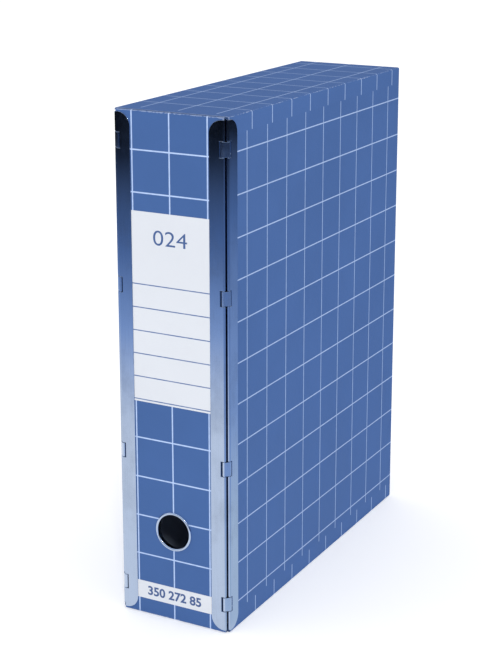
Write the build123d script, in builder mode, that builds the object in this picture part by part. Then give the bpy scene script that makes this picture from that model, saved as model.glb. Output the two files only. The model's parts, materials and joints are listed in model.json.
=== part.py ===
"""Archive box file: a board tray with a hinged spine and a hinged, inset lid.

The box stands upright. X is its width, Y runs from the spine (front, -Y) to the fore edge (+Y)
and Z is up, in millimetres. The origin is the middle of the footprint. The tray is the right
side (+X) with a top, a bottom and a fore-edge wall. The spine is linked to the tray along the
right front corner, and the lid, on the left side (-X), is linked to the spine's other edge.
"""
import os
from collections import namedtuple
from math import sqrt

from build123d import *

# ---------------------------------------------------------------- overall sizes
box_width = 85.0        # over the outer faces of the hinge leaves
box_height = 350.0
box_depth = 272.5       # finger ring's rim to the fore edge

# ---------------------------------------------------------------- sheet thicknesses
board = 1.4             # greyboard of every panel and wall
paper = 0.2             # covering and lining papers
liner = 1.4             # white-lined board inside the walls, the ledge that the lid closes on
leaf_gauge = 0.4        # nickelled sheet steel of the hinge leaves
label_paper = 0.15

# ---------------------------------------------------------------- clearances
spine_clearance = 0.4   # spine's inner leaf face to the walls' front edges
spine_end_gap = 0.3     # spine above the floor, and below the top face
lid_clearance = 0.6     # lid's edges to the walls around it
ledge_clearance = 0.3   # lid's inner leaf face to the ledge
leaf_end_gap = 0.2      # end of a leaf to the wall beside it
knuckle_gap = 0.8       # between the two rounded folds of a hinge
pin_play = 0.02         # pin in a leaf's fold
link_play = 0.06        # link on its pins
swing_clearance = 0.3   # link's barrel to the leaf and the board behind it
window_clearance = 0.45  # above and below each link
spine_slot = 0.5        # more room beside each link in the spine, open to view
corner_setback = 0.3    # a panel's corners, beyond its leaf, stay inside the fold's tip

# ---------------------------------------------------------------- hinges
leaf_reach = 13.3       # outer flange, measured in from the box's corner
inner_flange = 7.0      # inner flange, measured from the fold's centre
leaf_corner = 10.0      # rounded ends of the outer flange
inner_corner = 5.5      # rounded ends of the inner flange
link_height = 9.7
link_inset = 18.8       # middle of each end link to the leaf's end
link_pitch = 96.5       # end link to the next one in
pin_inset = 1.5         # each pin stops short of its leaf's ends

# ---------------------------------------------------------------- covering papers
wrap = 12.0             # top and bottom papers lap onto the tray's side
fore_wrap = 6.0         # fore-edge paper laps onto the tray's side
edge_round = 1.2        # soft outer edges of the tray
panel_round = 0.7       # soft outer edges of the spine and the lid

# ---------------------------------------------------------------- spine fittings
ring_height = 65.0      # finger ring's centre above the floor
ring_bore = 12.0        # radius
ring_wall = 0.6
ring_flange = 1.85      # width of the rim, from the bore out
rim_proud = 0.9
rim_round = 0.75
ring_play = 0.1         # ring's barrel in the spine's hole
washer = 0.6            # thickness of the ring's back washer
washer_round = 0.4
peen = 0.3              # ring's barrel stands out behind the washer
label_height = 130.0
label_drop = 66.0       # title label's top edge, below the top of the box
foot_label_bottom = 11.3
foot_label_height = 12.7
label_gap = 0.1         # a label's edges to the leaves beside it

# ---------------------------------------------------------------- derived sizes and places
panel = board + 2 * paper
fold_radius = panel / 2 + leaf_gauge
fold_inside = panel / 2
pin_radius = fold_inside - pin_play
knuckle_offset = (2 * fold_radius + knuckle_gap) / sqrt(2)

x_leaf = box_width / 2
x_face = x_leaf - leaf_gauge
x_board = x_face - paper
x_inner = x_board - board
x_lining = x_inner - paper
x_ledge = -(x_lining - leaf_gauge - ledge_clearance)

y_face = -box_depth / 2 + rim_proud
y_leaf = y_face - leaf_gauge
y_spine_back = y_face + panel
y_wall = y_spine_back + leaf_gauge + spine_clearance
y_back = box_depth / 2
y_fore = y_back - paper - board

spine_z = (spine_end_gap, box_height - spine_end_gap)
wall_z = (paper + board, box_height - paper - board)
lid_z = (wall_z[0] + lid_clearance, wall_z[1] - lid_clearance)
leaf_z = (wall_z[0] + leaf_end_gap, wall_z[1] - leaf_end_gap)
lid_leaf_z = (lid_z[0] + panel_round, lid_z[1] - panel_round)
link_z = (
    leaf_z[0] + link_inset,
    leaf_z[0] + link_inset + link_pitch,
    leaf_z[1] - link_inset - link_pitch,
    leaf_z[1] - link_inset,
)
window_half = link_height / 2 + window_clearance

pin_to_corner = fold_radius + knuckle_offset
board_stop = pin_radius + pin_play      # a panel's edge stops here, behind its pin
link_stop = fold_radius + swing_clearance
spine_half = x_leaf - knuckle_offset - corner_setback
lid_front = y_leaf + knuckle_offset + corner_setback
label_half = x_leaf - leaf_reach - label_gap
past = 5.0                              # how far a cutter runs past what it cuts

# A hinged edge: its pin's centre, the way into its panel, its outer side, its leaf's height,
# and how far behind the pin its windows reach
HingeEdge = namedtuple("HingeEdge", "pin inward outward leaf_z window")
spine_pin_x = x_leaf - pin_to_corner
spine_pin_y = y_leaf + fold_radius
side_pin_x = x_leaf - fold_radius
side_pin_y = y_leaf + pin_to_corner
y_liner = side_pin_y + inner_flange + leaf_end_gap

tray_edge = HingeEdge(Vector(side_pin_x, side_pin_y), Vector(0, 1), Vector(1, 0), leaf_z, link_stop)
lid_edge = HingeEdge(
    Vector(-side_pin_x, side_pin_y), Vector(0, 1), Vector(-1, 0), lid_leaf_z, link_stop
)
spine_right = HingeEdge(
    Vector(spine_pin_x, spine_pin_y), Vector(-1, 0), Vector(0, -1), leaf_z, link_stop + spine_slot
)
spine_left = HingeEdge(
    Vector(-spine_pin_x, spine_pin_y), Vector(1, 0), Vector(0, -1), leaf_z, link_stop + spine_slot
)

os.makedirs("parts", exist_ok=True)


def slab(x, y, z, mode=Mode.ADD):
    """A box between (low, high) limits on each axis, in the part that is open."""
    low, high = (Vector(*corner) for corner in zip(x, y, z))
    size = high - low
    with Locations((low + high) / 2):
        Box(size.X, size.Y, size.Z, mode=mode)


def cut_back(edge, depth, z):
    """Cut a hinged edge back to a depth behind its pin, between two heights."""
    start = edge.pin - edge.inward * past - edge.outward * past
    end = edge.pin + edge.inward * depth + edge.outward * past
    slab(sorted((start.X, end.X)), sorted((start.Y, end.Y)), z, mode=Mode.SUBTRACT)


def cut_windows(edge):
    """Room for the four links in a hinged edge."""
    for z in link_z:
        cut_back(edge, edge.window, (z - window_half, z + window_half))


def cut_hinge_room(*edges):
    """Room in a sheet for the pins, the leaves' folds and the links."""
    for edge in edges:
        cut_back(edge, board_stop, edge.leaf_z)
        cut_windows(edge)


def save(part, name):
    """Label a finished piece and write its file."""
    part.label = name
    export_step(part, f"parts/{name}.step")


# ================================================================ tray: envelopes of its skin
with BuildPart() as tray_envelope:
    slab((-x_face, x_face), (y_wall, y_back), (0, box_height))
    fillet(tray_envelope.edges().sort_by(Axis.Y)[4:], radius=edge_round)

with BuildPart() as tray_core:
    slab((-x_board, x_board), (y_wall - past, y_back - paper), (paper, box_height - paper))
    fillet(tray_core.edges().sort_by(Axis.Y)[4:], radius=edge_round - paper)

with BuildPart() as tray_skin:
    add(tray_envelope.part)
    add(tray_core.part, mode=Mode.SUBTRACT)

# ================================================================ tray: greyboards
with BuildPart() as tray_board:
    add(tray_core.part)
    slab((x_inner, x_face), (y_wall, y_back), (0, box_height), mode=Mode.INTERSECT)
    cut_hinge_room(tray_edge)
save(tray_board.part, "tray_board")

for name, y, z in (
    ("top_wall_board", (y_wall, y_back), (wall_z[1], box_height)),
    ("bottom_wall_board", (y_wall, y_back), (0, wall_z[0])),
    ("fore_edge_board", (y_fore, y_back), wall_z),
):
    with BuildPart() as wall_board:
        add(tray_core.part)
        slab((-x_face, x_inner), y, z, mode=Mode.INTERSECT)
    save(wall_board.part, name)

# ================================================================ tray: linings and ledge boards
with BuildPart() as tray_lining:
    slab((x_lining, x_inner), (y_wall, y_fore), wall_z)
    cut_hinge_room(tray_edge)
save(tray_lining.part, "tray_lining")

for name, y, z in (
    ("top_wall_liner", (y_liner, y_fore), (wall_z[1] - liner, wall_z[1])),
    ("bottom_wall_liner", (y_liner, y_fore), (wall_z[0], wall_z[0] + liner)),
    ("fore_edge_liner", (y_fore - liner, y_fore), (wall_z[0] + liner, wall_z[1] - liner)),
):
    with BuildPart() as wall_liner:
        slab((x_ledge, x_lining), y, z)
    save(wall_liner.part, name)

# ================================================================ tray: covering papers
with BuildPart() as tray_cover_paper:
    add(tray_skin.part)
    slab(
        (x_board, x_face),
        (y_wall, y_back - fore_wrap),
        (wrap, box_height - wrap),
        mode=Mode.INTERSECT,
    )
    cut_hinge_room(tray_edge)
save(tray_cover_paper.part, "tray_cover_paper")

for name, face, lap, hem in (
    (
        "top_cover_paper",
        (box_height - edge_round, box_height),
        (box_height - wrap, box_height),
        (wall_z[1], box_height),
    ),
    ("bottom_cover_paper", (0, edge_round), (0, wrap), (0, wall_z[0])),
):
    with BuildPart() as region:
        slab((-x_face, x_face), (y_wall, y_back), face)
        slab((x_face - edge_round, x_face), (y_wall, y_back), lap)
        slab((-x_face, -x_board), (y_wall, y_back), hem)
    with BuildPart() as wall_paper:
        add(tray_skin.part)
        add(region.part, mode=Mode.INTERSECT)
        cut_hinge_room(tray_edge)
    save(wall_paper.part, name)

with BuildPart() as fore_region:
    slab(
        (-x_board, x_face - edge_round),
        (y_back - edge_round, y_back),
        (edge_round, box_height - edge_round),
    )
    slab((-x_face, -x_board), (y_fore, y_back), wall_z)
    slab(
        (x_face - edge_round, x_face),
        (y_back - fore_wrap, y_back),
        (wrap, box_height - wrap),
    )

with BuildPart() as fore_edge_cover_paper:
    add(tray_skin.part)
    add(fore_region.part, mode=Mode.INTERSECT)
save(fore_edge_cover_paper.part, "fore_edge_cover_paper")

# ================================================================ spine: board, papers
with BuildPart() as spine_envelope:
    slab((-spine_half, spine_half), (y_face, y_spine_back), spine_z)
    front_edges = spine_envelope.edges().filter_by(Axis.X).group_by(Axis.Y)[0]
    fillet(front_edges, radius=panel_round)

with BuildPart() as spine_core:
    slab(
        (-x_leaf, x_leaf),
        (y_face + paper, y_spine_back),
        (spine_z[0] + paper, spine_z[1] - paper),
    )
    front_edges = spine_core.edges().filter_by(Axis.X).group_by(Axis.Y)[0]
    fillet(front_edges, radius=panel_round - paper)

with BuildPart() as finger_hole:
    with BuildSketch(Plane.XZ.offset(-y_face + past)):
        with Locations((0, ring_height)):
            Circle(ring_bore + ring_wall + ring_play)
    extrude(amount=-(panel + 2 * past))

for name, y in (
    ("spine_board", (y_face + paper, y_spine_back - paper)),
    ("spine_lining", (y_spine_back - paper, y_spine_back)),
):
    with BuildPart() as spine_sheet:
        add(spine_core.part)
        slab((-spine_half, spine_half), y, spine_z, mode=Mode.INTERSECT)
        add(finger_hole.part, mode=Mode.SUBTRACT)
        cut_hinge_room(spine_right, spine_left)
    save(spine_sheet.part, name)

with BuildPart() as spine_cover_paper:
    add(spine_envelope.part)
    add(spine_core.part, mode=Mode.SUBTRACT)
    add(finger_hole.part, mode=Mode.SUBTRACT)
    cut_hinge_room(spine_right, spine_left)
save(spine_cover_paper.part, "spine_cover_paper")

# ================================================================ spine: labels
for name, bottom, height in (
    ("title_label", box_height - label_drop - label_height, label_height),
    ("foot_label", foot_label_bottom, foot_label_height),
):
    with BuildPart() as label:
        slab((-label_half, label_half), (y_face - label_paper, y_face), (bottom, bottom + height))
    save(label.part, name)

# ================================================================ spine: finger ring and washer
ring_axis = Axis((0, 0, ring_height), (0, 1, 0))
y_washer = y_spine_back + washer

with BuildPart() as finger_ring:
    with BuildSketch(Plane.YZ):
        with Locations((y_face - rim_proud, ring_height + ring_bore)):
            Rectangle(rim_proud, ring_flange, align=Align.MIN)
            Rectangle(rim_proud + panel + washer + peen, ring_wall, align=Align.MIN)
    revolve(axis=ring_axis)
    fillet(finger_ring.edges().group_by(Axis.Y)[0], radius=rim_round)
save(finger_ring.part, "finger_ring")

with BuildPart() as finger_ring_washer:
    with BuildSketch(Plane.YZ):
        with Locations((y_spine_back, ring_height + ring_bore + ring_wall)):
            Rectangle(washer, ring_flange, align=Align.MIN)
    revolve(axis=ring_axis)
    fillet(finger_ring_washer.edges().group_by(Axis.Y)[-1].sort_by(SortBy.RADIUS)[-1], radius=washer_round)
save(finger_ring_washer.part, "finger_ring_washer")

# ================================================================ lid: board and papers
with BuildPart() as lid_envelope:
    slab((-x_face, -x_lining), (lid_front, y_fore - lid_clearance), lid_z)
    outer_edges = lid_envelope.edges().group_by(Axis.X)[0].sort_by(Axis.Y)[1:]
    fillet(outer_edges, radius=panel_round)

with BuildPart() as lid_core:
    slab(
        (-x_board, -x_lining),
        (lid_front - past, y_fore - lid_clearance - paper),
        (lid_z[0] + paper, lid_z[1] - paper),
    )
    outer_edges = lid_core.edges().group_by(Axis.X)[0].sort_by(Axis.Y)[1:]
    fillet(outer_edges, radius=panel_round - paper)

for name, x in (("lid_board", (-x_board, -x_inner)), ("lid_lining", (-x_inner, -x_lining))):
    with BuildPart() as lid_sheet:
        add(lid_core.part)
        slab(x, (lid_front, y_fore), lid_z, mode=Mode.INTERSECT)
        cut_hinge_room(lid_edge)
    save(lid_sheet.part, name)

with BuildPart() as lid_cover_paper:
    add(lid_envelope.part)
    add(lid_core.part, mode=Mode.SUBTRACT)
    cut_hinge_room(lid_edge)
save(lid_cover_paper.part, "lid_cover_paper")

# ================================================================ hinges: leaves and pins
outer_flange = leaf_reach - pin_to_corner

for name, edge in (
    ("tray_hinge", tray_edge),
    ("lid_hinge", lid_edge),
    ("spine_right_hinge", spine_right),
    ("spine_left_hinge", spine_left),
):
    up = edge.inward.cross(edge.outward)
    low, high = edge.leaf_z
    foot = edge.pin + Vector(0, 0, low if up.Z > 0 else high)
    with BuildPart() as leaf:
        with BuildSketch(Plane(origin=foot, x_dir=edge.inward, z_dir=up)):
            with BuildLine():
                Polyline(
                    (0, fold_inside),
                    (outer_flange, fold_inside),
                    (outer_flange, fold_radius),
                    (0, fold_radius),
                )
                ThreePointArc((0, fold_radius), (-fold_radius, 0), (0, -fold_radius))
                Polyline(
                    (0, -fold_radius),
                    (inner_flange, -fold_radius),
                    (inner_flange, -fold_inside),
                    (0, -fold_inside),
                )
                ThreePointArc((0, -fold_inside), (-fold_inside, 0), (0, fold_inside))
            make_face()
        extrude(amount=high - low)
        corners = leaf.edges().filter_by(Axis((0, 0, 0), edge.outward))
        inner_corners, outer_corners = corners.group_by(Axis((0, 0, 0), edge.inward))
        fillet(outer_corners, radius=min(leaf_corner, outer_flange - leaf_gauge))
        fillet(inner_corners, radius=min(inner_corner, inner_flange - leaf_gauge))
        cut_windows(edge)
    save(leaf.part, f"{name}_leaf")

    with BuildPart() as pin:
        with BuildSketch(Plane.XY.offset(low + pin_inset)):
            with Locations(edge.pin):
                Circle(pin_radius)
        extrude(amount=high - low - 2 * pin_inset)
    save(pin.part, f"{name}_pin")

# ================================================================ hinges: links
for side, spine_side, panel_side, lean in (
    ("right", spine_right, tray_edge, 45),
    ("left", spine_left, lid_edge, -45),
):
    for number, z in enumerate(link_z, start=1):
        with BuildPart() as link:
            with BuildSketch(Plane.XY.offset(z - link_height / 2)):
                with Locations((spine_side.pin + panel_side.pin) / 2):
                    SlotCenterToCenter(sqrt(2) * knuckle_offset, 2 * fold_radius, rotation=lean)
                with Locations(spine_side.pin, panel_side.pin):
                    Circle(pin_radius + link_play, mode=Mode.SUBTRACT)
            extrude(amount=link_height)
        save(link.part, f"{side}_hinge_link_{number}")
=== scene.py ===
import json
from math import radians

import bpy
from bpy.props import FloatProperty, FloatVectorProperty, PointerProperty, StringProperty
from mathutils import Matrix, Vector

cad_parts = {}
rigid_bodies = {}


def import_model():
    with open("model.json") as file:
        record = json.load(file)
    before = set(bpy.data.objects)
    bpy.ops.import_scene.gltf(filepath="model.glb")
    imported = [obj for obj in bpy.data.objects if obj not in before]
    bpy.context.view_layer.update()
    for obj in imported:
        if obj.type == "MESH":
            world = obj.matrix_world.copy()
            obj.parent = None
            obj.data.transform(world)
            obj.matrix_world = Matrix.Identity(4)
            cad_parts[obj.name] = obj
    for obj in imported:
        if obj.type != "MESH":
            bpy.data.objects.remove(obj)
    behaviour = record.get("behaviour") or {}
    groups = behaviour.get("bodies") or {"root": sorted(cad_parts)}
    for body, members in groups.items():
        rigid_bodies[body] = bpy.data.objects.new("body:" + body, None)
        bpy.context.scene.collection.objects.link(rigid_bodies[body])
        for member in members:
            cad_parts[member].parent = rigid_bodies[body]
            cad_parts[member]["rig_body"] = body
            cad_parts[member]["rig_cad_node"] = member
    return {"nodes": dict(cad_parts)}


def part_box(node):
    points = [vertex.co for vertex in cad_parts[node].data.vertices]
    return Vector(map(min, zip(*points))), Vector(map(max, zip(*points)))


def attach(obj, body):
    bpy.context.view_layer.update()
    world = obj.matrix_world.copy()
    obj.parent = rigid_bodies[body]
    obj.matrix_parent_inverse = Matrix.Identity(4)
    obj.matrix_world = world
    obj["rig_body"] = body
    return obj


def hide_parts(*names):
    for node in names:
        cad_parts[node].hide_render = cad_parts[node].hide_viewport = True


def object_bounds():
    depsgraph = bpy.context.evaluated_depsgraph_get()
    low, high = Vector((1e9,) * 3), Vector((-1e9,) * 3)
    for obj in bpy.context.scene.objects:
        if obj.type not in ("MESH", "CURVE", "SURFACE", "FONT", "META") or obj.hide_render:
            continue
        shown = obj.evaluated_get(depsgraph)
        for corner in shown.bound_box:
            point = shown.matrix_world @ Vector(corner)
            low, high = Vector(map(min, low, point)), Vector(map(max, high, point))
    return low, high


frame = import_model()
cad_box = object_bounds()

bl_info = {
    "name": "Archive box file",
    "version": (1, 0, 0),
    "blender": (4, 5, 0),
    "location": "3D View > Sidebar > Box file",
    "description": "Finishes an upright board box file with printed papers, labels and linked steel hinges",
    "category": "Object",
}

MM = 0.001
INK_THICKNESS = 0.02 * MM

# ------------------------------------------------------------------ where the printed lines lie
SPINE_FIRST_LINE = 25.8 * MM      # below the top of the box
SIDE_FIRST_LINE = 23.5 * MM       # below the top of the box
SIDE_FIRST_UPRIGHT = 26.3 * MM    # behind the front of the spine, as are the next three
TOP_FIRST_LINE = 33.2 * MM
BOTTOM_FIRST_LINE = 38 * MM
TOP_PRINT_STARTS = 9.9 * MM
TOP_OFF_CENTRE = 1.2 * MM         # the top sheet was glued a little to the right
SPINE_LINE_WIDTH = 0.92 * MM
FINE_LINE_WIDTH = 0.78 * MM

# ------------------------------------------------------------------ what the labels carry
LOWEST_RULE = 1.6 * MM            # above the lower edge of the title label
HIGHEST_RULE = 81.5 * MM
RULE_PITCH = 15.9 * MM
RULE_WIDTH = 0.72 * MM
TITLE_DROP = 16.5 * MM            # from the label's upper edge to the middle of the number
TITLE_HEIGHT, TITLE_BOLD = 10 * MM, -0.004
FOOT_HEIGHT, FOOT_BOLD = 6.8 * MM, 0.028

# ------------------------------------------------------------------ colours that have no setting
# paler print on the box's edges: partly rubbed-off ink, partly a painted highlight where the paper folds
# over the edge
RUB_AND_HIGHLIGHT_PRINT = (0.50, 0.58, 0.76)
GREY_PULP = (0.235, 0.24, 0.25)
WHITE_LINED = (0.68, 0.70, 0.74)
GREY_FLECK = (0.5, 0.5, 0.5)
FLOOR_WHITE = (0.93, 0.93, 0.93)
SKY_BLUE = (0.74, 0.85, 1.0)
BLACK = (0, 0, 0)
WHITE = (1, 1, 1)

# ------------------------------------------------------------------ lights, in metres
BOX_MIDDLE = (0, 0, 0.17)
KEY_PLACE, KEY_SIZE = (1.45, -2.25, 1.8), 0.22
FILL_PLACE = (-2.3, -1.6, 1.3)
BACK_PLACE = (0.6, 2.6, 1.6)
SOFT_SIZE = 1.8

# ------------------------------------------------------------------ painted reflection: a made-up room that the floor shows only to reflected rays, for the metal to reflect
PAINTED_REFLECTION_REACH = 2.2
CORNER_NORMAL = (0.906, 0.423, 0)  # across the line that parts the room ahead from the room beside
FLOOR_GLOW = 0.25
PALE = (0.90, 0.92, 0.95)
DIM = (0.60, 0.70, 0.80)
MID_BLUE = (0.32, 0.45, 0.71)
DEEP_BLUE = (0.10, 0.18, 0.37)
SLATE = (0.05, 0.08, 0.15)
DARK = (0.0, 0.0, 0.0)
# each colour of the painted reflection at its distance from the box, in metres
PAINTED_REFLECTION_AHEAD = {0.5: PALE, 0.8: MID_BLUE, 1.17: DEEP_BLUE, 1.6: SLATE, 1.87: DARK}
PAINTED_REFLECTION_BESIDE = {0.12: DIM, 0.36: MID_BLUE, 1.2: DEEP_BLUE, 1.72: SLATE, 1.9: DARK}

# ------------------------------------------------------------------ what each finish goes on
GRID_PAPERS = {
    "spine_cover_paper": "spine",
    "tray_cover_paper": "side",
    "lid_cover_paper": "lid",
    "top_cover_paper": "top",
    "bottom_cover_paper": "bottom",
    "fore_edge_cover_paper": "fore_edge",
}
LININGS = ("tray_lining", "spine_lining", "lid_lining")
LINERS = ("top_wall_liner", "bottom_wall_liner", "fore_edge_liner")
LEDGE_BOARDS = ("tray_board", "top_wall_board", "bottom_wall_board")
WRAPPED_BOARDS = ("spine_board", "lid_board")
LEAVES = {
    "tray_hinge_leaf": "tray",
    "spine_right_hinge_leaf": "spine",
    "spine_left_hinge_leaf": "spine",
    "lid_hinge_leaf": "lid",
}
PINS = {
    "tray_hinge_pin": "tray",
    "spine_right_hinge_pin": "spine",
    "spine_left_hinge_pin": "spine",
    "lid_hinge_pin": "lid",
}
LINKS = {f"{side}_hinge_link_{i}": f"{side}_links" for side in ("right", "left") for i in range(1, 5)}


# ------------------------------------------------------------------ settings
class BoxFilePaper(bpy.types.PropertyGroup):
    blue: FloatVectorProperty(
        name="Paper blue", description="Ground colour of the covering paper",
        subtype="COLOR", size=3, min=0, max=1, default=(0.0545, 0.122, 0.318))
    line: FloatVectorProperty(
        name="Grid line", description="Colour of the printed lines",
        subtype="COLOR", size=3, min=0, max=1, default=(0.45, 0.58, 0.86))
    lining: FloatVectorProperty(
        name="Lining", description="Colour of the paper inside",
        subtype="COLOR", size=3, min=0, max=1, default=(0.37, 0.45, 0.60))
    pitch: FloatProperty(
        name="Grid pitch", description="Distance between printed lines",
        unit="LENGTH", min=0.005, default=0.028, precision=4)
    # how much paler print is laid along the edges: partly rub, partly a painted highlight
    rub_and_highlight: FloatProperty(
        name="Edge rub", description="How far the print is rubbed off along the box's edges",
        subtype="FACTOR", min=0, max=1, default=0.42)


class BoxFileSteel(bpy.types.PropertyGroup):
    tint: FloatVectorProperty(
        name="Nickel", description="Reflection colour of the nickel plate",
        subtype="COLOR", size=3, min=0, max=1, default=(0.50, 0.59, 0.76))
    polish: FloatProperty(
        name="Roughness", description="Roughness of a clean leaf",
        subtype="FACTOR", min=0, max=1, default=0.11)
    leaf_round: FloatProperty(
        name="Leaf edges", description="Rounding of the leaves' cut edges",
        unit="LENGTH", min=0, default=0.00015, precision=5)
    link_round: FloatProperty(
        name="Link edges", description="Rounding of the links' edges",
        unit="LENGTH", min=0, default=0.0003, precision=5)


class BoxFileLabels(bpy.types.PropertyGroup):
    white: FloatVectorProperty(
        name="Label paper", description="Colour of the label paper",
        subtype="COLOR", size=3, min=0, max=1, default=(0.665, 0.695, 0.755))
    ink: FloatVectorProperty(
        name="Ink", description="Colour of the ruled lines and of the title's number",
        subtype="COLOR", size=3, min=0, max=1, default=(0.045, 0.105, 0.28))
    title: StringProperty(
        name="Title", description="Number on the title label", default="024")
    foot: StringProperty(
        name="Foot", description="Numbers on the foot label", default="350 272 85")
    title_width: FloatProperty(
        name="Title width", description="Width of the title's number",
        unit="LENGTH", min=0.002, default=0.0255, precision=4)
    foot_width: FloatProperty(
        name="Foot width", description="Width of the foot label's numbers",
        unit="LENGTH", min=0.002, default=0.042, precision=4)


class BoxFileStage(bpy.types.PropertyGroup):
    lens: FloatProperty(
        name="Lens", description="Focal length of the camera", unit="CAMERA", min=10, default=87.0)
    camera_place: FloatVectorProperty(
        name="Camera place", description="Where the camera stands",
        subtype="TRANSLATION", unit="LENGTH", size=3, default=(0.5183, -0.9904, 0.5087))
    camera_turn: FloatVectorProperty(
        name="Camera turn", description="Which way the camera looks",
        subtype="EULER", unit="ROTATION", size=3, default=(radians(76.05), 0, radians(28.24)))
    camera_shift: FloatProperty(
        name="Camera shift", description="Vertical shift of the picture", default=-0.1218)
    floor_radius: FloatProperty(
        name="Floor radius", description="Radius of the round floor", unit="LENGTH", min=1, default=14)
    sky: FloatProperty(
        name="Sky", description="Strength of the even light from all around", min=0, default=1.0)
    key: FloatProperty(
        name="Key light", description="Power of the soft light beside the camera",
        unit="POWER", min=0, default=14)
    fill: FloatProperty(
        name="Fill light", description="Power of the soft lights to the left and behind",
        unit="POWER", min=0, default=5)


class BoxFileSettings(bpy.types.PropertyGroup):
    paper: PointerProperty(name="Papers", description="Printed covering papers", type=BoxFilePaper)
    steel: PointerProperty(name="Steel", description="Hinges and finger ring", type=BoxFileSteel)
    labels: PointerProperty(name="Labels", description="Title and foot labels", type=BoxFileLabels)
    stage: PointerProperty(name="Stage", description="Floor, lights and camera", type=BoxFileStage)


# ------------------------------------------------------------------ node building
class Graph:
    """A node tree that is being built; plain values and other nodes' sockets both go in as inputs."""

    def __init__(self, tree):
        self.tree = tree
        self.tree.nodes.clear()

    def add(self, kind, inputs=None, **settings):
        node = self.tree.nodes.new(kind)
        count = len(self.tree.nodes) - 1
        node.location = (220 * (count % 8), -320 * (count // 8))
        for name, value in settings.items():
            setattr(node, name, value)
        for socket, value in (inputs or {}).items():
            if isinstance(value, bpy.types.NodeSocket):
                self.tree.links.new(value, node.inputs[socket])
            else:
                node.inputs[socket].default_value = value
        return node

    def math(self, operation, a, b=0.0, clamp=False):
        return self.add("ShaderNodeMath", {0: a, 1: b}, operation=operation, use_clamp=clamp).outputs[0]

    def ramp(self, value, low, high, to_low=0.0, to_high=1.0):
        """Eased from to_low at low to to_high at high."""
        inputs = {"Value": value, "From Min": low, "From Max": high, "To Min": to_low, "To Max": to_high}
        return self.add("ShaderNodeMapRange", inputs, interpolation_type="SMOOTHSTEP").outputs[0]

    def noise(self, vector, scale, detail=3.0, roughness=0.55):
        inputs = {"Vector": vector, "Scale": scale, "Detail": detail, "Roughness": roughness}
        return self.add("ShaderNodeTexNoise", inputs).outputs["Fac"]

    def stretch(self, vector, scale):
        """The coordinates times a scale for each axis."""
        return self.add("ShaderNodeMapping", {"Vector": vector, "Scale": scale}).outputs[0]

    def minus(self, a, b):
        """The difference of two vectors."""
        return self.add("ShaderNodeVectorMath", {0: a, 1: b}, operation="SUBTRACT").outputs[0]

    def place(self):
        return self.add("ShaderNodeTexCoord").outputs["Object"]

    def axes(self, vector):
        return self.add("ShaderNodeSeparateXYZ", {0: vector}).outputs

    def mix(self, mask, a, b):
        node = self.add("ShaderNodeMix", data_type="RGBA", blend_type="MIX")
        for index, value in ((0, mask), (6, a), (7, b)):
            if isinstance(value, bpy.types.NodeSocket):
                self.tree.links.new(value, node.inputs[index])
            else:
                node.inputs[index].default_value = value
        return node.outputs[2]

    def effect(self, name, **inputs):
        """A node group with its inputs given by name; underscores stand for spaces."""
        node = self.add("ShaderNodeGroup", None, node_tree=bpy.data.node_groups[name])
        for key, value in inputs.items():
            socket = node.inputs[key.replace("_", " ")]
            if isinstance(value, bpy.types.NodeSocket):
                self.tree.links.new(value, socket)
            else:
                socket.default_value = value
        return node.outputs

    def surface(self, color, roughness, height=None, bump=0.3, distance=0.0002, **constants):
        """The Principled surface, its bump and the material's output."""
        shader = self.add("ShaderNodeBsdfPrincipled", {"Base Color": color, "Roughness": roughness})
        for key, value in constants.items():
            shader.inputs[key.replace("_", " ")].default_value = value
        if height is not None:
            lifted = self.add("ShaderNodeBump", {"Height": height, "Strength": bump, "Distance": distance})
            self.tree.links.new(lifted.outputs[0], shader.inputs["Normal"])
        output = self.add("ShaderNodeOutputMaterial")
        self.tree.links.new(shader.outputs[0], output.inputs[0])


def rgba(color, factor=1.0):
    return (*(min(1.0, c * factor) for c in color), 1.0)


SOCKETS = {"float": "NodeSocketFloat", "vector": "NodeSocketVector", "color": "NodeSocketColor"}


def new_effect(name, inputs, outputs):
    """An empty node group; returns its graph, the group input's sockets and the group output node."""
    tree = bpy.data.node_groups.new(name, "ShaderNodeTree")
    for socket, (kind, default) in inputs.items():
        tree.interface.new_socket(socket, in_out="INPUT", socket_type=SOCKETS[kind]).default_value = default
    for socket in outputs:
        tree.interface.new_socket(socket, in_out="OUTPUT", socket_type=SOCKETS["float"])
    graph = Graph(tree)
    given = graph.add("NodeGroupInput").outputs
    output = graph.add("NodeGroupOutput")
    return graph, given, output


def put_out(graph, output, **values):
    for name, value in values.items():
        graph.tree.links.new(value, output.inputs[name.replace("_", " ")])


def grid_lines_effect():
    """Printed lines at a pitch across each axis, a little uneven in their ink."""
    graph, given, output = new_effect(
        "grid_lines",
        {"Offset": ("vector", (0, 0, 0)), "Amount": ("vector", (0, 1, 1)), "Pitch": ("float", 0.028),
         "Line Width": ("float", 0.001)},
        ("Lines",))
    place = graph.place()
    half = graph.math("MULTIPLY", given["Line Width"], 0.5)
    blurred = graph.math("ADD", half, 0.00016)
    sharp = graph.math("SUBTRACT", half, 0.00016)
    amounts = graph.axes(given["Amount"])
    offsets = graph.axes(given["Offset"])
    lines = None
    for axis, coordinate in enumerate(graph.axes(place)):
        steps = graph.math("DIVIDE", graph.math("SUBTRACT", coordinate, offsets[axis]), given["Pitch"])
        away = graph.math("MULTIPLY", graph.math("PINGPONG", steps, 0.5), given["Pitch"])
        line = graph.math("MULTIPLY", graph.ramp(away, sharp, blurred, 1.0, 0.0), amounts[axis])
        lines = line if lines is None else graph.math("MAXIMUM", lines, line)
    ink = graph.ramp(graph.noise(place, 260.0, 2.0), 0.3, 0.6, 0.86, 1.0)
    put_out(graph, output, Lines=graph.math("MULTIPLY", lines, ink))


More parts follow.
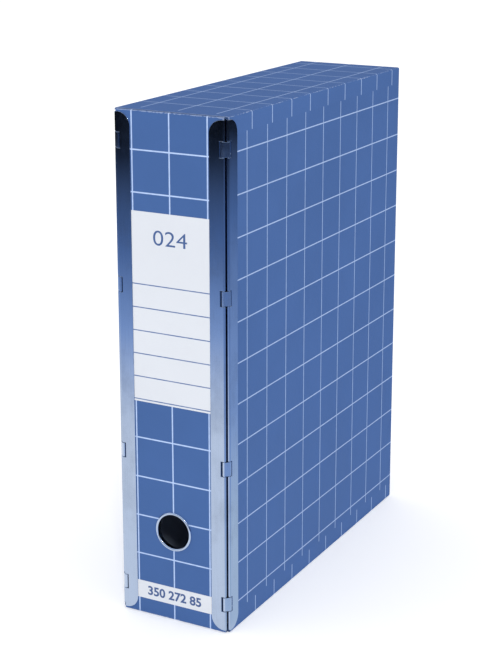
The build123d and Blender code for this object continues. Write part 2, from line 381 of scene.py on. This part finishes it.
def paper_grain_effect():
    """Fine felt grain, broad clouding and stray fibres of a sheet of paper."""
    graph, given, output = new_effect(
        "paper_grain",
        {"Grain": ("float", 2600.0), "Clouding": ("float", 16.0)},
        ("Tone", "Gloss", "Height"))
    place = graph.place()
    felt = graph.noise(place, given["Grain"], 3.0, 0.65)
    coarse = graph.noise(graph.stretch(place, (1, 1, 0.6)), 620.0, 2.0)
    cloud = graph.noise(place, given["Clouding"], 4.0, 0.6)
    fibre = graph.ramp(graph.noise(graph.stretch(place, (1, 1, 0.12)), 900.0, 1.0), 0.66, 0.78)
    tone = graph.math(
        "ADD", graph.ramp(cloud, 0.25, 0.75, -0.5, 0.5), graph.ramp(felt, 0.3, 0.7, -0.3, 0.3))
    gloss = graph.math("ADD", graph.ramp(cloud, 0.3, 0.7, -0.5, 0.5), graph.math("MULTIPLY", fibre, 0.4))
    height = graph.math("ADD", graph.math("MULTIPLY", felt, 0.6), graph.math("MULTIPLY", coarse, 0.5))
    height = graph.math("ADD", height, graph.math("MULTIPLY", fibre, 0.3))
    put_out(graph, output, Tone=tone, Gloss=gloss, Height=height)


def edge_rub_and_highlight_effect():
    """Where two faces of a box meet, broken up as handling leaves it; the first output is 1 on the edge,
    partly rubbed-off print and partly a painted highlight of the paper's fold.
    """
    graph, given, output = new_effect(
        "edge_rub_and_highlight",
        {"Centre": ("vector", (0, 0, 0)), "Half Size": ("vector", (1, 1, 1)), "Reach": ("float", 0.0009)},
        ("Rub", "Scuff"))
    place = graph.place()
    away = graph.minus(place, given["Centre"])
    size = graph.add("ShaderNodeVectorMath", {0: away}, operation="ABSOLUTE").outputs[0]
    left = graph.minus(given["Half Size"], size)
    x, y, z = graph.axes(left)
    low, high = graph.math("MINIMUM", x, y), graph.math("MAXIMUM", x, y)
    second = graph.math("MAXIMUM", low, graph.math("MINIMUM", high, z))
    chips = graph.noise(place, 420.0, 4.0, 0.7)
    broad = graph.ramp(graph.noise(place, 24.0, 2.0), 0.35, 0.7, 0.25, 1.0)
    chipped = graph.math("MULTIPLY", broad, graph.ramp(chips, 0.3, 0.75))
    reach = graph.math("MULTIPLY", given["Reach"], chipped)
    rub_and_highlight = graph.ramp(graph.math("SUBTRACT", second, reach), 0.0, 0.0003, 1.0, 0.0)
    scuff = graph.ramp(second, 0.0, 0.006, 1.0, 0.0)
    put_out(graph, output, Rub=rub_and_highlight, Scuff=scuff)


def handled_metal_effect():
    """Rolled grain along the box's height, finger smudges and a few hairline scratches."""
    graph, given, output = new_effect(
        "handled_metal",
        {"Grain": ("float", 2200.0), "Smudge": ("float", 34.0)},
        ("Tone", "Haze", "Height"))
    place = graph.place()
    grain = graph.noise(graph.stretch(place, (1, 1, 0.02)), given["Grain"], 2.0, 0.6)
    touched = graph.noise(graph.stretch(place, (1, 1, 0.7)), given["Smudge"], 5.0, 0.65)
    smudge = graph.ramp(touched, 0.42, 0.72)
    dust = graph.ramp(graph.noise(place, 1700.0, 1.0), 0.68, 0.76)
    hair = graph.noise(graph.stretch(place, (2.2, 2.2, 0.06)), 520.0, 0.0)
    scratch = graph.ramp(graph.math("ABSOLUTE", graph.math("SUBTRACT", hair, 0.56)), 0.0, 0.006, 1.0, 0.0)
    patch = graph.ramp(graph.noise(place, 21.0, 2.0), 0.5, 0.62)
    scratch = graph.math("MULTIPLY", scratch, patch)
    haze = graph.math("ADD", graph.math("MULTIPLY", smudge, 0.7), graph.math("MULTIPLY", dust, 0.35))
    haze = graph.math("ADD", haze, graph.math("MULTIPLY", scratch, 0.3))
    tone = graph.math("SUBTRACT", graph.ramp(grain, 0.3, 0.7, -0.12, 0.12), smudge)
    height = graph.math(
        "SUBTRACT", graph.math("MULTIPLY", grain, 0.5), graph.math("MULTIPLY", scratch, 0.5))
    put_out(graph, output, Tone=tone, Haze=haze, Height=height)


def board_fibre_effect():
    """Pressed pulp: flecks of every tone, lying in layers through the board's thickness."""
    graph, given, output = new_effect("board_fibre", {"Fleck": ("float", 900.0)}, ("Tone", "Height"))
    place = graph.place()
    fleck = graph.noise(place, given["Fleck"], 4.0, 0.7)
    layer = graph.noise(graph.stretch(place, (6, 6, 0.6)), 260.0, 3.0, 0.6)
    tone = graph.math(
        "ADD", graph.ramp(fleck, 0.25, 0.75, -0.5, 0.5), graph.ramp(layer, 0.3, 0.7, -0.4, 0.4))
    put_out(graph, output, Tone=tone, Height=graph.math("ADD", fleck, graph.math("MULTIPLY", layer, 0.8)))


def new_material(name):
    material = bpy.data.materials.new(name)
    material.use_nodes = True
    return material, Graph(material.node_tree)


def toned(graph, color, tone, depth):
    """The colour made a little darker or lighter by a tone around zero."""
    factor = graph.math("ADD", graph.math("MULTIPLY", tone, depth), 1.0)
    scaled = graph.add("ShaderNodeVectorMath", {0: color[:3], "Scale": factor}, operation="SCALE")
    return scaled.outputs[0]


def printed_paper(name, ground, lines, line_color, edge_nodes, rub_and_highlight):
    """Covering paper: its ground, printed lines, grain, and paler print along the edges of what it covers,
    partly rub and partly a painted highlight.
    """
    material, graph = new_material(name)
    grain = graph.effect("paper_grain")
    boxes = [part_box(node) for node in edge_nodes]
    low = Vector([min(box[0][i] for box in boxes) for i in range(3)])
    high = Vector([max(box[1][i] for box in boxes) for i in range(3)])
    edge = graph.effect("edge_rub_and_highlight", Centre=(low + high) / 2, Half_Size=(high - low) / 2)
    ground_tone = toned(graph, ground, grain["Tone"], 0.07)
    print_mask = lines(graph)
    printed = graph.mix(print_mask, ground_tone, rgba(line_color))
    # paler print along the edges: partly rub, partly a painted highlight of the paper's fold
    rubbed_and_highlit = graph.math("MULTIPLY", edge["Rub"], rub_and_highlight)
    color = graph.mix(rubbed_and_highlit, printed, rgba(RUB_AND_HIGHLIGHT_PRINT))
    roughness = graph.math("ADD", graph.math("MULTIPLY", grain["Gloss"], 0.07), 0.56)
    roughness = graph.math("ADD", roughness, graph.math("MULTIPLY", edge["Scuff"], 0.12), clamp=True)
    graph.surface(color, roughness, grain["Height"], bump=0.22, distance=0.00012, Specular_IOR_Level=0.1)
    return material


def give(node, material):
    """A CAD node takes a material in each of its slots."""
    slots = frame["nodes"][node].material_slots
    if not slots:
        frame["nodes"][node].data.materials.append(material)
    for slot in slots:
        slot.material = material


# ------------------------------------------------------------------ pieces made from the frame
def deselect():
    if bpy.context.object and bpy.context.object.mode != "OBJECT":
        bpy.ops.object.mode_set(mode="OBJECT")
    bpy.ops.object.select_all(action="DESELECT")


def activate(piece):
    deselect()
    piece.select_set(True)
    bpy.context.view_layer.objects.active = piece


def softened(node, name, width, segments=2):
    """A merged copy of a CAD node with its sharp edges rounded; its place stays in its mesh."""
    activate(frame["nodes"][node])
    bpy.ops.object.duplicate()
    piece = bpy.context.object
    piece.name = piece.data.name = name
    piece.parent = None
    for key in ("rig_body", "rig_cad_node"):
        if key in piece:
            del piece[key]
    piece.data.materials.clear()
    bpy.ops.object.mode_set(mode="EDIT")
    bpy.ops.mesh.select_all(action="SELECT")
    bpy.ops.mesh.remove_doubles(threshold=2e-6)
    bpy.ops.mesh.customdata_custom_splitnormals_clear()
    bpy.ops.mesh.dissolve_limited(angle_limit=radians(0.6))
    bpy.ops.object.mode_set(mode="OBJECT")
    if width:
        bpy.ops.object.modifier_add(type="BEVEL")
        bevel = piece.modifiers[-1]
        bevel.width = width
        bevel.segments = segments
        bevel.limit_method = "ANGLE"
        bevel.angle_limit = radians(40)
        bpy.ops.object.modifier_apply(modifier=bevel.name)
    bpy.ops.object.shade_smooth_by_angle(angle=radians(50))
    bpy.ops.object.modifier_add(type="WEIGHTED_NORMAL")
    normals = piece.modifiers[-1]
    normals.keep_sharp = True
    normals.weight = 90
    bpy.ops.object.modifier_apply(modifier=normals.name)
    return piece


def stand_for(node, name, body, material, width, segments=2):
    """A softened copy that rides on the node's body and is shown in its stead."""
    piece = softened(node, name, width, segments)
    piece.data.materials.append(material)
    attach(piece, body)
    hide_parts(node)


# ------------------------------------------------------------------ operators
class BOXFILE_OT_make_effects(bpy.types.Operator):
    """Build the shader groups that the finishes share"""
    bl_idname = "boxfile.make_effects"
    bl_label = "Make shared effects"

    def execute(self, context):
        for build in (grid_lines_effect, paper_grain_effect, edge_rub_and_highlight_effect, handled_metal_effect,
                      board_fibre_effect):
            build()
        return {"FINISHED"}


class BOXFILE_OT_cover_papers(bpy.types.Operator):
    """Print the grid on the covering papers of the spine, the tray and the lid"""
    bl_idname = "boxfile.cover_papers"
    bl_label = "Covering papers"

    def execute(self, context):
        settings = context.scene.box_file.paper
        pitch, blue, line = settings.pitch, settings.blue, settings.line
        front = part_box("spine_cover_paper")[0].y
        top = cad_box[1].z

        def lines_of(offset, amount, width):
            return lambda graph: graph.effect(
                "grid_lines", Offset=offset, Amount=amount, Pitch=pitch, Line_Width=width)["Lines"]

        def top_lines(start):
            def build(graph):
                along = graph.effect("grid_lines", Offset=(TOP_OFF_CENTRE, 0, 0), Amount=(0.8, 0, 0),
                                     Pitch=pitch, Line_Width=FINE_LINE_WIDTH)["Lines"]
                y = graph.axes(graph.place())[1]
                starts = front + TOP_PRINT_STARTS
                from_front = graph.ramp(y, starts - 0.3 * MM, starts + 0.3 * MM)
                across = graph.effect("grid_lines", Offset=(0, front + start, 0), Amount=(0, 0.8, 0),
                                      Pitch=pitch, Line_Width=FINE_LINE_WIDTH)["Lines"]
                behind = graph.ramp(y, front + start - 3 * MM, front + start - 2 * MM)
                return graph.math("MAXIMUM", graph.math("MULTIPLY", along, from_front),
                                  graph.math("MULTIPLY", across, behind))
            return build

        tray = ("tray_cover_paper", "top_cover_paper", "bottom_cover_paper", "fore_edge_cover_paper")
        spine_lines = lines_of((0, 0, top - SPINE_FIRST_LINE), (1, 0, 1), SPINE_LINE_WIDTH)
        side_lines = lines_of(
            (0, front + SIDE_FIRST_UPRIGHT, top - SIDE_FIRST_LINE), (0, 0.72, 0.82), FINE_LINE_WIDTH)
        back_lines = lines_of((0, 0, top - SIDE_FIRST_LINE), (0.72, 0, 0.82), FINE_LINE_WIDTH)
        # painted light: one paper in lit and shaded copies, the side, lid and fore-edge sheets 6% lighter
        # than the spine, the top and bottom 8% lighter
        sheets = {
            "spine": (rgba(blue), spine_lines, line, ("spine_cover_paper",)),
            "side": (rgba(blue, 1.06), side_lines, line, tray),
            "lid": (rgba(blue, 1.06), side_lines, line, ("lid_cover_paper",)),
            "top": (rgba(blue, 1.08), top_lines(TOP_FIRST_LINE), line, tray),
            "bottom": (rgba(blue, 1.08), top_lines(BOTTOM_FIRST_LINE), line, tray),
            "fore_edge": (rgba(blue, 1.06), back_lines, line, tray),
        }
        made = {
            name: printed_paper(f"{name}_paper", *sheet, settings.rub_and_highlight)
            for name, sheet in sheets.items()
        }
        for node, sheet in GRID_PAPERS.items():
            give(node, made[sheet])
        return {"FINISHED"}


class BOXFILE_OT_linings_and_boards(bpy.types.Operator):
    """Finish the lining papers, the ledge's lined board and the grey board"""
    bl_idname = "boxfile.linings_and_boards"
    bl_label = "Linings and boards"

    def board_material(self, name, paper, paper_ends):
        """Grey pulp board; in front of paper_ends it is covered by the paper turned in over its edges,
        painted at 0.55 of the cover's blue as painted shade.
        """
        material, graph = new_material(name)
        fibre = graph.effect("board_fibre")
        grain = graph.effect("paper_grain")
        pulp = toned(graph, rgba(GREY_PULP), fibre["Tone"], 0.32)
        # painted shade: the turned-in paper at 0.55 of the cover's blue, so the board deep in the hinge
        # slots looks shaded; the spine and lid boards carry it all over
        turned_in_painted_dark = toned(graph, rgba(paper, 0.55), grain["Tone"], 0.07)
        y = graph.axes(graph.place())[1]
        covered = graph.ramp(y, paper_ends - 0.1 * MM, paper_ends + 0.1 * MM, 1.0, 0.0)
        roughness = graph.math("ADD", graph.math("MULTIPLY", fibre["Tone"], 0.05), 0.88, clamp=True)
        graph.surface(graph.mix(covered, pulp, turned_in_painted_dark), roughness, fibre["Height"], bump=0.4,
                      distance=0.0002, Specular_IOR_Level=0.15)
        return material

    def execute(self, context):
        settings = context.scene.box_file.paper
        lining, graph = new_material("lining_paper")
        grain = graph.effect("paper_grain", Grain=1900.0, Clouding=11.0)
        color = toned(graph, rgba(settings.lining), grain["Tone"], 0.06)
        roughness = graph.math("ADD", graph.math("MULTIPLY", grain["Gloss"], 0.06), 0.78, clamp=True)
        graph.surface(color, roughness, grain["Height"], bump=0.3, distance=0.00016,
                      Specular_IOR_Level=0.25)

        front, back = cad_box[0].y, cad_box[1].y
        bare = self.board_material("fore_edge_greyboard", settings.blue, front)
        ledge = self.board_material("ledge_greyboard", settings.blue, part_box("top_wall_liner")[0].y)
        wrapped = self.board_material("wrapped_greyboard", settings.blue, back)

        lined, graph = new_material("white_lined_board")
        grain = graph.effect("paper_grain", Grain=1500.0, Clouding=9.0)
        fibre = graph.effect("board_fibre")
        color = toned(graph, rgba(WHITE_LINED), grain["Tone"], 0.06)
        flecked = graph.mix(graph.ramp(fibre["Tone"], 0.25, 0.6), color, rgba(GREY_FLECK))
        roughness = graph.math("ADD", graph.math("MULTIPLY", grain["Gloss"], 0.08), 0.74, clamp=True)
        graph.surface(flecked, roughness, grain["Height"], bump=0.35, distance=0.0002,
                      Specular_IOR_Level=0.25)

        for nodes, material in ((LININGS, lining), (LINERS, lined), (("fore_edge_board",), bare),
                                (LEDGE_BOARDS, ledge), (WRAPPED_BOARDS, wrapped)):
            for node in nodes:
                give(node, material)
        return {"FINISHED"}


class BOXFILE_OT_hinges(bpy.types.Operator):
    """Make the hinge leaves, the links between them and the pins"""
    bl_idname = "boxfile.hinges"
    bl_label = "Linked hinges"

    def execute(self, context):
        settings = context.scene.box_file.steel
        leaf, graph = new_material("leaf_nickel")
        metal = graph.effect("handled_metal")
        color = toned(graph, rgba(settings.tint), metal["Tone"], 0.15)
        roughness = graph.math(
            "ADD", graph.math("MULTIPLY", metal["Haze"], 0.10), settings.polish, clamp=True)
        graph.surface(color, roughness, metal["Height"], bump=0.12, distance=0.00005, Metallic=1.0,
                      Anisotropic=0.25)

        link, graph = new_material("link_nickel")
        metal = graph.effect("handled_metal", Grain=3000.0, Smudge=120.0)
        color = toned(graph, rgba(settings.tint, 1.05), metal["Tone"], 0.08)
        roughness = graph.math("ADD", graph.math("MULTIPLY", metal["Haze"], 0.14), 0.15, clamp=True)
        graph.surface(color, roughness, metal["Height"], bump=0.2, distance=0.00006, Metallic=1.0)

        wire, graph = new_material("pin_wire")
        metal = graph.effect("handled_metal", Grain=3600.0, Smudge=200.0)
        color = toned(graph, rgba(settings.tint, 0.8), metal["Tone"], 0.12)
        roughness = graph.math("ADD", graph.math("MULTIPLY", metal["Haze"], 0.2), 0.27, clamp=True)
        graph.surface(color, roughness, metal["Height"], bump=0.2, distance=0.00006, Metallic=1.0)

        for node, body in LEAVES.items():
            stand_for(node, f"{node}_folded", body, leaf, settings.leaf_round)
        for node, body in LINKS.items():
            stand_for(node, f"{node}_rounded", body, link, settings.link_round, 3)
        for node, body in PINS.items():
            stand_for(node, f"{node}_wire", body, wire, 0.25 * MM)
        return {"FINISHED"}


class BOXFILE_OT_finger_ring(bpy.types.Operator):
    """Make the finger ring and its back washer"""
    bl_idname = "boxfile.finger_ring"
    bl_label = "Finger ring"

    def execute(self, context):
        settings = context.scene.box_file.steel
        ring, graph = new_material("ring_nickel")
        metal = graph.effect("handled_metal", Grain=2600.0, Smudge=90.0)
        color = toned(graph, rgba(settings.tint, 1.08), metal["Tone"], 0.05)
        roughness = graph.math("ADD", graph.math("MULTIPLY", metal["Haze"], 0.12), 0.11, clamp=True)
        graph.surface(color, roughness, metal["Height"], bump=0.1, distance=0.00004, Metallic=1.0)
        stand_for("finger_ring", "finger_ring_polished", "spine", ring, 0.05 * MM)
        stand_for("finger_ring_washer", "finger_ring_washer_pressed", "spine", ring,
                  0.12 * MM)
        return {"FINISHED"}


class BOXFILE_OT_labels(bpy.types.Operator):
    """Rule the title label and set the numbers on both labels"""
    bl_idname = "boxfile.labels"
    bl_label = "Labels and numbers"

    def label_material(self, name, settings, ruled=None):
        material, graph = new_material(name)
        grain = graph.effect("paper_grain", Grain=3200.0, Clouding=20.0)
        color = toned(graph, rgba(settings.white), grain["Tone"], 0.025)
        if ruled:
            first, pitch, last = ruled
            lines = graph.effect("grid_lines", Offset=(0, 0, first), Amount=(0, 0, 1), Pitch=pitch,
                                 Line_Width=RULE_WIDTH)["Lines"]
            height = graph.axes(graph.place())[2]
            below = graph.ramp(height, last + 1 * MM, last + 2 * MM, 1.0, 0.0)
            color = graph.mix(graph.math("MULTIPLY", lines, below), color, rgba(settings.ink, 1.2))
        roughness = graph.math("ADD", graph.math("MULTIPLY", grain["Gloss"], 0.06), 0.5, clamp=True)
        graph.surface(color, roughness, grain["Height"], bump=0.12, distance=0.0001, Specular_IOR_Level=0.4)
        return material

    def digits(self, text, name, label, width, cap_height, middle, ink, bold):
        """Raised ink: text made a mesh, then sized and stood up on the label's face."""
        deselect()
        bpy.ops.object.text_add()
        piece = bpy.context.object
        piece.name = name
        piece.data.body = text
        piece.data.align_x = "CENTER"
        piece.data.align_y = "CENTER"
        piece.data.resolution_u = 6
        piece.data.offset = bold
        piece.data.extrude = 0.5
        bpy.ops.object.convert(target="MESH")
        piece = bpy.context.object
        piece.data.name = name
        bpy.ops.object.origin_set(type="ORIGIN_GEOMETRY", center="BOUNDS")
        piece.dimensions = (width, cap_height, INK_THICKNESS)
        piece.rotation_euler = (radians(90), 0, 0)
        piece.location = (0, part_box(label)[0].y - INK_THICKNESS / 2, middle)
        bpy.ops.object.transform_apply(location=True, rotation=True, scale=True)
        bpy.ops.object.mode_set(mode="EDIT")
        bpy.ops.mesh.select_all(action="SELECT")
        bpy.ops.mesh.remove_doubles(threshold=1e-6)
        bpy.ops.mesh.normals_make_consistent(inside=False)
        bpy.ops.object.mode_set(mode="OBJECT")
        piece.data.materials.append(ink)
        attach(piece, "spine")

    def ink_material(self, name, color):
        material, graph = new_material(name)
        grain = graph.effect("paper_grain", Grain=3200.0)
        tone = toned(graph, rgba(color), grain["Tone"], 0.12)
        roughness = graph.math("ADD", graph.math("MULTIPLY", grain["Gloss"], 0.06), 0.46, clamp=True)
        graph.surface(tone, roughness, grain["Height"], bump=0.12, distance=0.0001)
        return material

    def execute(self, context):
        settings = context.scene.box_file.labels
        title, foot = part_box("title_label"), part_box("foot_label")
        bottom = title[0].z
        give("title_label", self.label_material(
            "title_label_paper", settings, (bottom + LOWEST_RULE, RULE_PITCH, bottom + HIGHEST_RULE)))
        give("foot_label", self.label_material("foot_label_paper", settings))
        title_ink = self.ink_material("title_ink", settings.ink)
        foot_ink = self.ink_material("foot_ink", [c * f for c, f in zip(settings.ink, (0.85, 0.85, 0.9))])
        self.digits(settings.title, "title_digits", "title_label", settings.title_width, TITLE_HEIGHT,
                    title[1].z - TITLE_DROP, title_ink, TITLE_BOLD)
        self.digits(settings.foot, "foot_digits", "foot_label", settings.foot_width, FOOT_HEIGHT,
                    (foot[0].z + foot[1].z) / 2, foot_ink, FOOT_BOLD)
        return {"FINISHED"}


class BOXFILE_OT_stage(bpy.types.Operator):
    """Set the floor, the soft lights and the camera"""
    bl_idname = "boxfile.stage"
    bl_label = "Floor, lights and camera"

    def floor_material(self):
        """Pale and matt; to reflected rays it glows instead, a painted reflection of a room that falls off
        to dark away from the box.
        """
        material, graph = new_material("studio_floor")
        place = graph.place()
        tone = graph.ramp(graph.noise(place, 3.0, 2.0), 0.3, 0.7, -0.5, 0.5)
        color = toned(graph, rgba(FLOOR_WHITE), tone, 0.006)
        shader = graph.add("ShaderNodeBsdfPrincipled", {"Base Color": color, "Roughness": 0.95})
        shader.inputs["Specular IOR Level"].default_value = 0.1
        shader.inputs["Emission Color"].default_value = rgba(WHITE)
        shader.inputs["Emission Strength"].default_value = FLOOR_GLOW
        distance = graph.add("ShaderNodeVectorMath", {0: place}, operation="LENGTH").outputs["Value"]
        away = graph.math("DIVIDE", distance, PAINTED_REFLECTION_REACH)
        ahead = self.falloff(graph, away, PAINTED_REFLECTION_AHEAD)
        beside = self.falloff(graph, away, PAINTED_REFLECTION_BESIDE)
        corner = (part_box("tray_hinge_leaf")[1].x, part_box("spine_right_hinge_leaf")[0].y, 0)
        from_corner = graph.minus(place, corner)
        turned = graph.add("ShaderNodeVectorMath", {0: from_corner, 1: CORNER_NORMAL},
                           operation="DOT_PRODUCT").outputs["Value"]
        room = graph.mix(graph.ramp(turned, -0.015, 0.02), ahead, beside)
        # painted reflection: reflected rays see the floor glow with the made-up room's colours instead of
        # its lit surface
        seen = graph.add("ShaderNodeEmission", {"Color": room, "Strength": 1.0})
        glossy = graph.add("ShaderNodeLightPath").outputs["Is Glossy Ray"]
        mixed = graph.add("ShaderNodeMixShader", {0: glossy, 1: shader.outputs[0], 2: seen.outputs[0]})
        graph.add("ShaderNodeOutputMaterial", {0: mixed.outputs[0]})
        return material

    def falloff(self, graph, away, stops):
        """A gradient through a few colours, each at its distance from the box."""
        ramp = graph.add("ShaderNodeValToRGB", {"Fac": away})
        elements = ramp.color_ramp.elements
        while len(elements) < len(stops):
            elements.new(1.0)
        for element, (distance, color) in zip(elements, stops.items()):
            element.position = distance / PAINTED_REFLECTION_REACH
            element.color = rgba(color)
        return ramp.outputs[0]

    def sky(self, strength):
        world = bpy.data.worlds.new("studio")
        world.use_nodes = True
        graph = Graph(world.node_tree)
        direction = graph.add("ShaderNodeTexCoord").outputs["Generated"]
        height = graph.axes(direction)[2]
        dim = graph.ramp(height, 0.05, 0.7, 0.02, 1.0)
        overhead = graph.ramp(height, 0.35, 1.0, 1.0, 0.8)
        glossy = graph.add("ShaderNodeLightPath").outputs["Is Glossy Ray"]
        room = graph.mix(glossy, graph.mix(overhead, rgba(BLACK), rgba(WHITE)),
                         graph.mix(dim, rgba(BLACK), rgba(SKY_BLUE)))
        back = graph.add("ShaderNodeBackground", {"Color": room, "Strength": strength})
        graph.add("ShaderNodeOutputWorld", {0: back.outputs[0]})
        return world

    def light(self, name, place, size, power):
        deselect()
        bpy.ops.object.light_add(type="AREA", location=place)
        light = bpy.context.object
        light.name = light.data.name = name
        light.data.shape = "DISK"
        light.data.size = size
        light.data.energy = power
        light.rotation_euler = (Vector(BOX_MIDDLE) - Vector(place)).to_track_quat("-Z", "Y").to_euler()

    def execute(self, context):
        settings = context.scene.box_file.stage
        deselect()
        bpy.ops.mesh.primitive_circle_add(vertices=96, radius=settings.floor_radius, fill_type="NGON",
                                          location=(0, 0, cad_box[0].z - 0.05 * MM))
        floor = bpy.context.object
        floor.name = floor.data.name = "floor"
        floor.data.materials.append(self.floor_material())
        context.scene.world = self.sky(settings.sky)
        context.scene.view_settings.view_transform = "Standard"
        self.light("key_light", KEY_PLACE, KEY_SIZE, settings.key)
        self.light("fill_light", FILL_PLACE, SOFT_SIZE, settings.fill)
        self.light("back_light", BACK_PLACE, SOFT_SIZE, settings.fill)
        bpy.ops.object.camera_add(location=settings.camera_place, rotation=settings.camera_turn)
        camera = bpy.context.object
        camera.name = camera.data.name = "camera"
        camera.data.lens = settings.lens
        camera.data.shift_y = settings.camera_shift
        camera.data.clip_start = 0.02
        camera.data.clip_end = 60
        context.scene.camera = camera
        return {"FINISHED"}


class BOXFILE_PT_sidebar(bpy.types.Panel):
    """Lists the steps that finish the box file"""
    bl_idname = "BOXFILE_PT_sidebar"
    bl_label = "Box file"
    bl_space_type = "VIEW_3D"
    bl_region_type = "UI"
    bl_category = "Box file"

    def draw(self, context):
        settings = context.scene.box_file
        for part in ("paper", "steel", "labels", "stage"):
            box = self.layout.box()
            for name in getattr(settings, part).bl_rna.properties.keys():
                if name not in ("rna_type", "name"):
                    box.prop(getattr(settings, part), name)
        for operator in OPERATORS:
            self.layout.operator(operator.bl_idname)


GROUPS = (BoxFilePaper, BoxFileSteel, BoxFileLabels, BoxFileStage, BoxFileSettings)
OPERATORS = (
    BOXFILE_OT_make_effects,
    BOXFILE_OT_cover_papers,
    BOXFILE_OT_linings_and_boards,
    BOXFILE_OT_hinges,
    BOXFILE_OT_finger_ring,
    BOXFILE_OT_labels,
    BOXFILE_OT_stage,
)


def register():
    for cls in (*GROUPS, *OPERATORS, BOXFILE_PT_sidebar):
        bpy.utils.register_class(cls)
    bpy.types.Scene.box_file = PointerProperty(type=BoxFileSettings)


def unregister():
    del bpy.types.Scene.box_file
    for cls in reversed((*GROUPS, *OPERATORS, BOXFILE_PT_sidebar)):
        bpy.utils.unregister_class(cls)


def main():
    register()
    bpy.ops.boxfile.make_effects()
    bpy.ops.boxfile.cover_papers()
    bpy.ops.boxfile.linings_and_boards()
    bpy.ops.boxfile.hinges()
    bpy.ops.boxfile.finger_ring()
    bpy.ops.boxfile.labels()
    bpy.ops.boxfile.stage()


if __name__ == "__main__":
    main()
